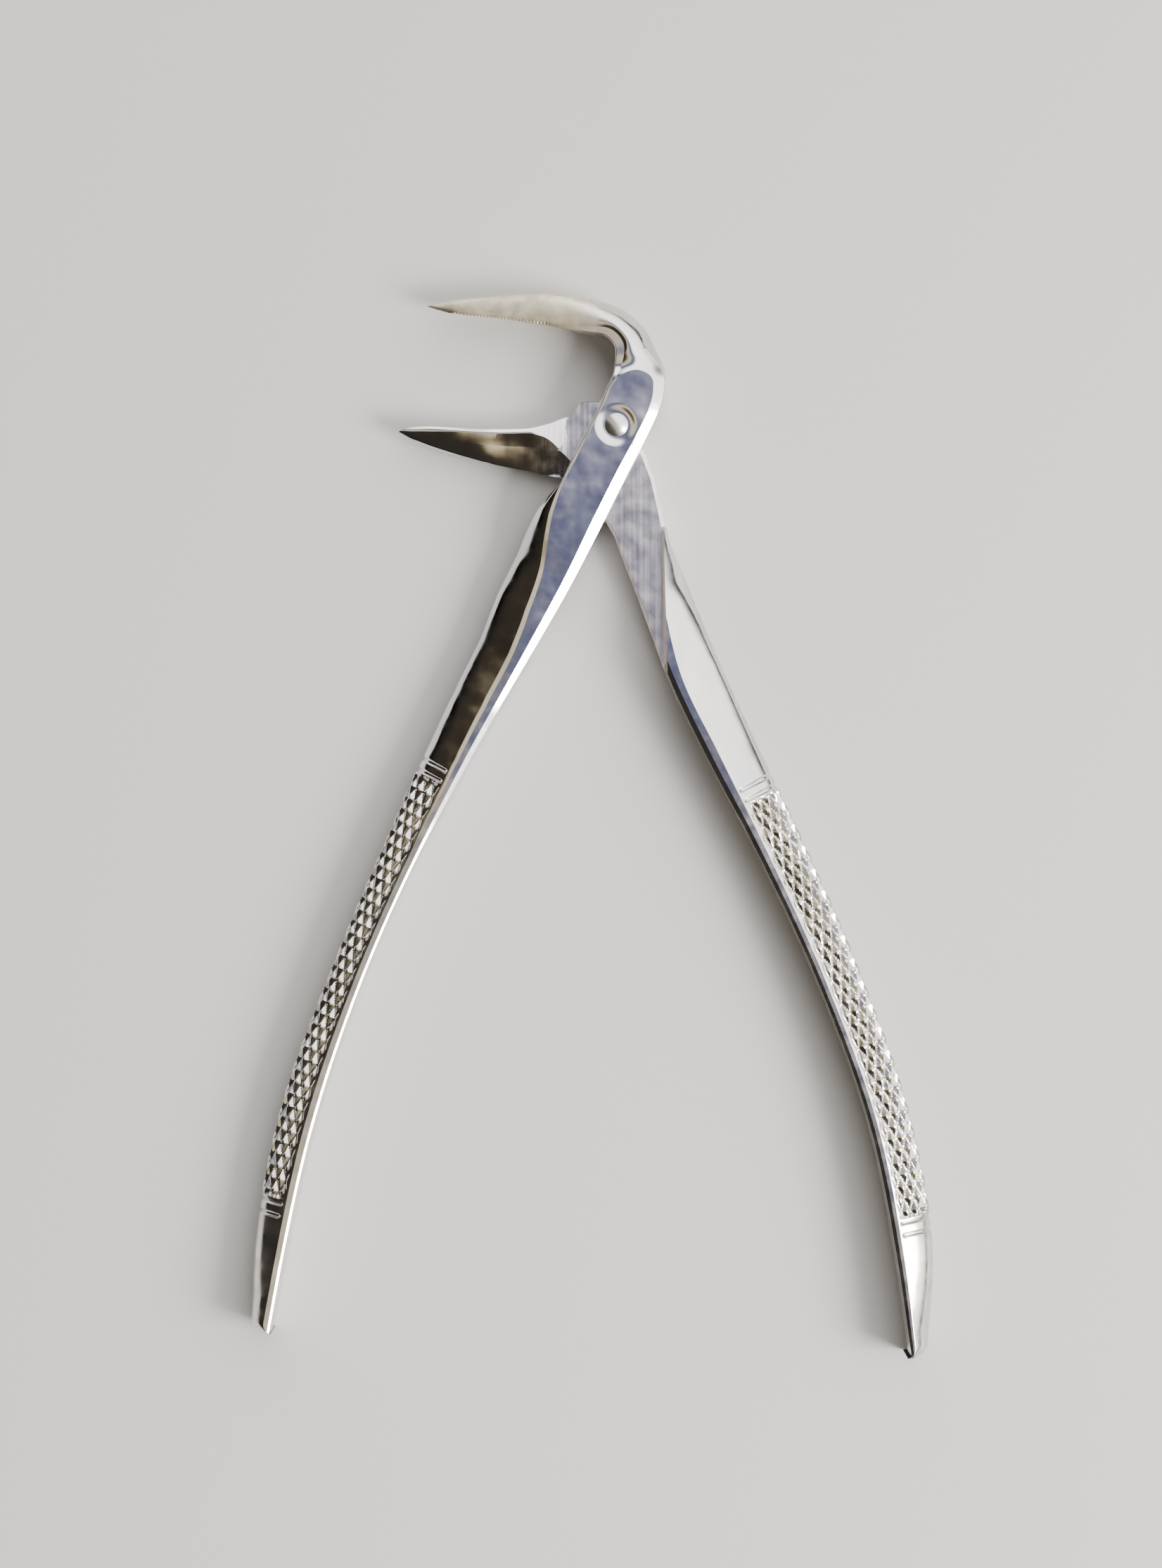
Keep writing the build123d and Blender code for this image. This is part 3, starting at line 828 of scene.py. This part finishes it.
def steel(name, finish, other=None, spans=()):
    """Steel with one finish, which blends into another across spans of the axes."""
    material, nodes, links, shader = node_tree(name)
    shader.inputs["Metallic"].default_value = 1.0
    coordinates = nodes.new("ShaderNodeTexCoord").outputs["Object"]
    colour, rough, height = finish_values(nodes, links, coordinates, finish)
    if other:
        parts = nodes.new("ShaderNodeSeparateXYZ")
        links.new(coordinates, parts.inputs["Vector"])
        mask = None
        for axis, start, full in spans:
            share = remap(nodes, links, parts.outputs[axis], 0, 1, start * MM, full * MM)
            mask = together(nodes, links, "MULTIPLY", mask, share) if mask else share
        other_colour, other_rough, other_height = finish_values(nodes, links, coordinates, other)
        colour = blend(nodes, links, "RGBA", mask, colour, other_colour)
        rough = blend(nodes, links, "FLOAT", mask, rough, other_rough)
        height = blend(nodes, links, "FLOAT", mask, height, other_height)
    links.new(colour, shader.inputs["Base Color"])
    links.new(rough, shader.inputs["Roughness"])
    bump = nodes.new("ShaderNodeBump")
    bump.inputs["Strength"].default_value = 1.0
    bump.inputs["Distance"].default_value = 1.0
    links.new(height, bump.inputs["Height"])
    links.new(bump.outputs["Normal"], shader.inputs["Normal"])
    return material


# ---------------------------------------------------------------- the pieces

head, front_grip = make_front_half()
rear, rear_grip = make_rear_half()
rivet = make_rivet()

for piece in (head, rear):
    shade(piece, FLAT_CREASE)
    even_normals(piece)
for piece in (front_grip, rear_grip, rivet):
    shade(piece, ROUND_CREASE)

for piece, material in (
    # The upper beak gets the satin with its painted cream sheen
    (head, steel("front_steel", POLISHED, SATIN_WITH_PAINTED_SHEEN, PAINTED_SHEEN_SPANS)),
    (rear, steel("rear_steel", POLISHED, BRUSHED, BRUSHED_SPANS)),
    (front_grip, steel("front_grip_steel", POLISHED, KNURLED, KNURLED_SPANS)),
    (rear_grip, steel("rear_grip_steel", POLISHED, KNURLED, KNURLED_SPANS)),
    (rivet, steel("rivet_steel", RIVET)),
):
    piece.data.materials.clear()
    piece.data.materials.append(material)

for piece, body, node, slot in (
    (head, "front", "front_half", "front_steel"),
    (front_grip, "front", "front_half", "front_steel"),
    (rear, "rear", "rear_half", "rear_steel"),
    (rear_grip, "rear", "rear_half", "rear_steel"),
    (rivet, "front", "pivot_rivet", "rivet_steel"),
):
    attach(piece, body)
    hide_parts(node)


# ---------------------------------------------------------------- floor, light and camera

# Floor, in metres
FLOOR_REACH = 9.0
FLOOR_HEIGHT = -0.0001
FLOOR_COLOUR = (0.56, 0.555, 0.55)
FLOOR_ROUGHNESS = 0.75

# Key light, in metres and watts
KEY_PLACE = (0.55, -0.25, 0.45)
KEY_TARGET = (0.0, -0.055, 0.0)
KEY_SIZE = (0.30, 0.30)
KEY_POWER = 9.0
KEY_COLOUR = (1.0, 0.97, 0.92)

# Studio: its colours from the dark side to the bright one, and how it fades towards the horizon
BRIGHT_SIDE = (0.8, 0.6, 0.0)      # the direction that the studio is brightest in
BRIGHTEST = 4.0                    # its colours are stored as shares of this
STUDIO_STOPS = [
    (0.00, (0.05, 0.045, 0.04)), (0.30, (0.03, 0.026, 0.02)), (0.34, (0.12, 0.09, 0.05)),
    (0.37, (1.10, 0.92, 0.56)), (0.42, (1.10, 1.0, 0.78)), (0.46, (0.60, 0.58, 0.60)),
    (0.50, (0.08, 0.09, 0.19)), (0.54, (0.22, 0.24, 0.42)), (0.58, (1.00, 1.00, 1.08)),
    (0.62, (3.6, 3.6, 3.5)), (0.96, (3.6, 3.5, 3.3)), (1.00, (0.8, 0.65, 0.35)),
]
HORIZON = (0.04, 0.32)             # upward parts of the direction between which it fades
LOWEST_SHARE = 0.04                # share of its brightness that is left at the lower one

# Camera, in millimetres
CAMERA_CENTRE = (-5.3, -53.8)      # the point of the plan in the middle of the picture
CAMERA_HEIGHT = 478.0              # above the underside
VIEW_HEIGHT = 234.7                # plan height that the picture spans at the top face
SENSOR_WIDTH = 36.0


def make_floor():
    """A plain pale floor at the height that the forceps lies on."""
    mesh = bpy.data.meshes.new("floor")
    reach = FLOOR_REACH
    corners = [(-reach, -reach, 0), (reach, -reach, 0), (reach, reach, 0), (-reach, reach, 0)]
    mesh.from_pydata(corners, [], [(0, 1, 2, 3)])
    floor = bpy.data.objects.new("floor", mesh)
    floor.location.z = FLOOR_HEIGHT
    bpy.context.scene.collection.objects.link(floor)
    material, nodes, links, shader = node_tree("floor_pale")
    shader.inputs["Base Color"].default_value = (*FLOOR_COLOUR, 1)
    shader.inputs["Roughness"].default_value = FLOOR_ROUGHNESS
    mesh.materials.append(material)


def make_key_light():
    """A soft square light on the right, facing the forceps."""
    data = bpy.data.lights.new("key_right", "AREA")
    data.shape = "RECTANGLE"
    data.size, data.size_y = KEY_SIZE
    data.energy = KEY_POWER
    data.color = KEY_COLOUR
    light = bpy.data.objects.new("key_right", data)
    light.location = KEY_PLACE
    facing = Vector(KEY_TARGET) - Vector(KEY_PLACE)
    light.rotation_euler = facing.to_track_quat("-Z", "Y").to_euler()
    bpy.context.scene.collection.objects.link(light)


def make_world():
    """A soft studio: bright on the right, cool overhead, dark low down and on the left."""
    world = bpy.data.worlds.new("studio")
    world.use_nodes = True
    nodes, links = world.node_tree.nodes, world.node_tree.links
    direction = nodes.new("ShaderNodeTexCoord").outputs["Generated"]
    parts = nodes.new("ShaderNodeSeparateXYZ")
    links.new(direction, parts.inputs["Vector"])
    slant = nodes.new("ShaderNodeVectorMath")
    slant.operation = "DOT_PRODUCT"
    slant.inputs[1].default_value = BRIGHT_SIDE
    links.new(direction, slant.inputs[0])
    ramp = nodes.new("ShaderNodeValToRGB")
    ramp.color_ramp.interpolation = "B_SPLINE"
    elements = ramp.color_ramp.elements
    for place, (position, colour) in enumerate(STUDIO_STOPS):
        stop = elements[place] if place < 2 else elements.new(position)
        stop.position = position
        stop.color = (*[part / BRIGHTEST for part in colour], 1)
    links.new(remap(nodes, links, slant.outputs["Value"], 0, 1, -1, 1), ramp.inputs["Fac"])
    rise = remap(nodes, links, parts.outputs["Z"], LOWEST_SHARE * BRIGHTEST, BRIGHTEST, *HORIZON)
    rise.node.interpolation_type = "SMOOTHSTEP"
    background = nodes["Background"]
    links.new(ramp.outputs["Color"], background.inputs["Color"])
    links.new(rise, background.inputs["Strength"])
    bpy.context.scene.world = world


def make_camera():
    """A camera that looks straight down on the forceps."""
    data = bpy.data.cameras.new("camera")
    data.sensor_width = SENSOR_WIDTH
    data.lens = SENSOR_WIDTH * (CAMERA_HEIGHT - THICKNESS) / VIEW_HEIGHT
    camera = bpy.data.objects.new("camera", data)
    camera.location = (CAMERA_CENTRE[0] * MM, CAMERA_CENTRE[1] * MM, CAMERA_HEIGHT * MM)
    bpy.context.scene.collection.objects.link(camera)
    bpy.context.scene.camera = camera


make_floor()
make_world()
make_key_light()
make_camera()
